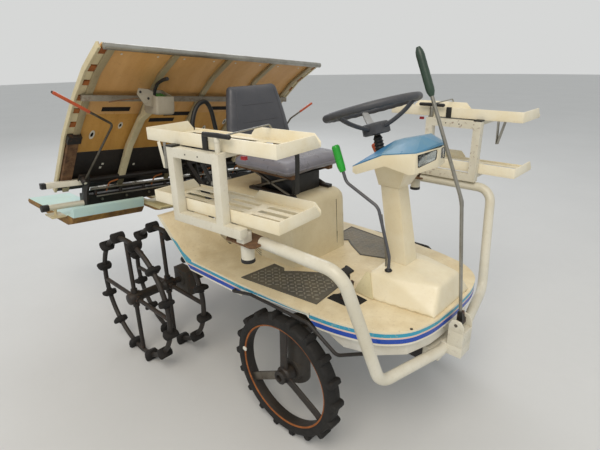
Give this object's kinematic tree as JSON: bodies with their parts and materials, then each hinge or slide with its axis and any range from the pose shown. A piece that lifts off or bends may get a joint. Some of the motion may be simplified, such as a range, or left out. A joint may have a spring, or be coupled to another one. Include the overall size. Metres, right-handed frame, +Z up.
{
  "type": "rice transplanter",
  "caption": "Riding rice transplanter with bladed rear wheels, swinging seedling racks and a lifting planting unit under a sloping seedling platform",
  "frame": {"origin": "on the ground at the middle of the box that bounds the whole machine", "axes": "+X forward, +Y to the left, +Z up"},
  "size_m": [2.452, 1.6512, 1.6029],
  "materials": {
    "black_steel": "worn satin black paint",
    "grey_casting": "dull grey paint over casting",
    "engine_block": "dull",
    "paddle_rubber": "dusty moulded rubber",
    "tyre_rubber": "dusty solid rubber",
    "rim_paint": "worn black paint with a rusty edge",
    "cream_body": "aged satin moulding",
    "white_body": "aged satin moulding",
    "mat_rubber": "chequered dull rubber",
    "blue_top": "aged satin moulding",
    "lamp_lens": "clear lens",
    "black_plastic": "matt",
    "wheel_grip": "dull worn grip",
    "rusty_bracket": "rusty",
    "seat_vinyl": "dusty grey vinyl",
    "lever_steel": "worn grey paint",
    "green_grip": "glossy",
    "white_pipe": "white paint with chips",
    "bracket_white": "white paint",
    "zinc_rod": "dull zinc",
    "tray_plastic": "aged white moulding",
    "float_plastic": "pale blue moulding with dried mud",
    "control_grey": "aged grey moulding",
    "rotor_alloy": "cast alloy",
    "claw_steel": "worn",
    "platform_tan": "aged tan moulding",
    "rail_grey": "aged grey paint"
  },
  "bodies": {
    "chassis": {"main_frame": "black_steel", "engine": "engine_block", "transmission_case": "grey_casting", "front_axle": "grey_casting", "rear_axle_case": "grey_casting", "deck": "cream_body", "seat_box": "cream_body", "front_cover": "cream_body", "lower_front_cover": "white_body", "foot_mats": "mat_rubber", "steering_column": "cream_body", "console": "cream_body", "console_top": "blue_top", "headlamp": "lamp_lens", "steering_shaft": "black_plastic", "seat_bracket": "rusty_bracket", "seat_cushion": "seat_vinyl", "seat_back": "seat_vinyl", "control_levers": "lever_steel", "lever_grips": "green_grip", "guard_pipes": "white_pipe", "wheel_guard_pipes": "lever_steel", "assist_lever_bracket": "bracket_white"},
    "steering_wheel": {"steering_wheel": "wheel_grip"},
    "rear_wheel_right": {"rear_wheel_frame_right": "black_steel", "rear_paddles_right": "paddle_rubber"},
    "rear_wheel_left": {"rear_wheel_frame_left": "black_steel", "rear_paddles_left": "paddle_rubber"},
    "drive_case_right": {"front_drive_case_right": "grey_casting"},
    "drive_case_left": {"front_drive_case_left": "grey_casting"},
    "front_wheel_right": {"front_rim_right": "rim_paint", "front_tyre_right": "tyre_rubber"},
    "front_wheel_left": {"front_rim_left": "rim_paint", "front_tyre_left": "tyre_rubber"},
    "rack_right": {"rack_frame_right": "white_pipe", "seedling_trays_right": "tray_plastic"},
    "rack_left": {"rack_frame_left": "white_pipe", "seedling_trays_left": "tray_plastic"},
    "assist_lever": {"assist_lever": "zinc_rod"},
    "lower_links": {"lower_links": "black_steel"},
    "upper_link": {"upper_link": "black_steel"},
    "hitch": {"unit_hitch": "black_steel"},
    "planting_unit": {"planting_frame": "black_steel", "planting_cases": "grey_casting", "floats": "float_plastic", "control_box": "control_grey"},
    "rotors": {"rotor_cases": "rotor_alloy", "planting_claws": "claw_steel"},
    "platform": {"seedling_platform": "platform_tan", "platform_ribs": "rail_grey"},
    "marker_right": {"marker_arm_right": "black_steel"},
    "marker_left": {"marker_arm_left": "black_steel"}
  },
  "joints": [
    {"name": "steer_right", "type": "hinge", "parent": "chassis", "child": "drive_case_right", "pos_m": [0.659, -0.365, 0.3], "axis": [0, 0, 1], "range_deg": [-36, 36]},
    {"name": "steer_left", "type": "hinge", "parent": "chassis", "child": "drive_case_left", "pos_m": [0.659, 0.365, 0.3], "axis": [0, 0, 1], "range_deg": [-36, 36]},
    {"name": "steering_turn", "type": "hinge", "parent": "chassis", "child": "steering_wheel", "pos_m": [0.73, 0, 1.31588], "axis": [-0.2924, 0, 0.9563], "range_deg": [-324, 324]},
    {"name": "front_spin_right", "type": "hinge", "parent": "drive_case_right", "child": "front_wheel_right", "pos_m": [0.659, -0.448, 0.284], "axis": [0, 1, 0], "continuous": true},
    {"name": "rear_spin_right", "type": "hinge", "parent": "chassis", "child": "rear_wheel_right", "pos_m": [-0.296, -0.49, 0.34356], "axis": [0, 1, 0], "continuous": true},
    {"name": "rack_swing_right", "type": "hinge", "parent": "chassis", "child": "rack_right", "pos_m": [0.629, -0.583, 0.9], "axis": [0, 0, 1], "range_deg": [0, 180]},
    {"name": "front_spin_left", "type": "hinge", "parent": "drive_case_left", "child": "front_wheel_left", "pos_m": [0.659, 0.448, 0.284], "axis": [0, 1, 0], "continuous": true},
    {"name": "rear_spin_left", "type": "hinge", "parent": "chassis", "child": "rear_wheel_left", "pos_m": [-0.296, 0.49, 0.34356], "axis": [0, 1, 0], "continuous": true},
    {"name": "rack_swing_left", "type": "hinge", "parent": "chassis", "child": "rack_left", "pos_m": [0.629, 0.583, 0.9], "axis": [0, 0, 1], "range_deg": [0, 180]},
    {"name": "assist_tilt", "type": "hinge", "parent": "chassis", "child": "assist_lever", "pos_m": [1.194, -0.04, 0.566], "axis": [0, 1, 0], "range_deg": [0, 70]},
    {"name": "lift", "type": "hinge", "parent": "chassis", "child": "lower_links", "pos_m": [-0.236, 0, 0.43], "axis": [0, 1, 0], "range_deg": [-57.5, 2]},
    {"name": "upper_lift", "type": "hinge", "parent": "chassis", "child": "upper_link", "pos_m": [-0.236, 0, 0.57], "axis": [0, 1, 0], "range_deg": [-57.5, 2]},
    {"name": "hitch_level", "type": "hinge", "parent": "lower_links", "child": "hitch", "pos_m": [-0.59579, 0, 0.75969], "axis": [0, 1, 0], "range_deg": [-2, 57.5]},
    {"name": "unit_lean", "type": "hinge", "parent": "hitch", "child": "planting_unit", "pos_m": [-0.676, 0, 0.745], "axis": [1, 0, 0], "range_deg": [-1, 9]},
    {"name": "platform_slide", "type": "slide", "parent": "planting_unit", "child": "platform", "axis": [0, 0.9962, -0.0872], "range_m": [-0.06, 0.2]},
    {"name": "rotor_turn", "type": "hinge", "parent": "planting_unit", "child": "rotors", "pos_m": [-0.916, 0, 0.745], "axis": [0, 0.9962, -0.0872], "continuous": true},
    {"name": "marker_fold_right", "type": "hinge", "parent": "planting_unit", "child": "marker_right", "pos_m": [-0.596, -0.61887, 0.92261], "axis": [0.8, -0.0523, -0.5977], "range_deg": [0, 100]},
    {"name": "marker_fold_left", "type": "hinge", "parent": "planting_unit", "child": "marker_left", "pos_m": [-0.596, 0.64031, 0.81245], "axis": [-0.8, 0.0523, 0.5977], "range_deg": [0, 100]}
  ],
  "couplings": [
    {"joint": "steer_left", "follows": "steer_right", "ratio": 1},
    {"joint": "steering_turn", "follows": "steer_right", "ratio": 9},
    {"joint": "upper_lift", "follows": "lift", "ratio": 1},
    {"joint": "hitch_level", "follows": "lift", "ratio": -1}
  ]
}
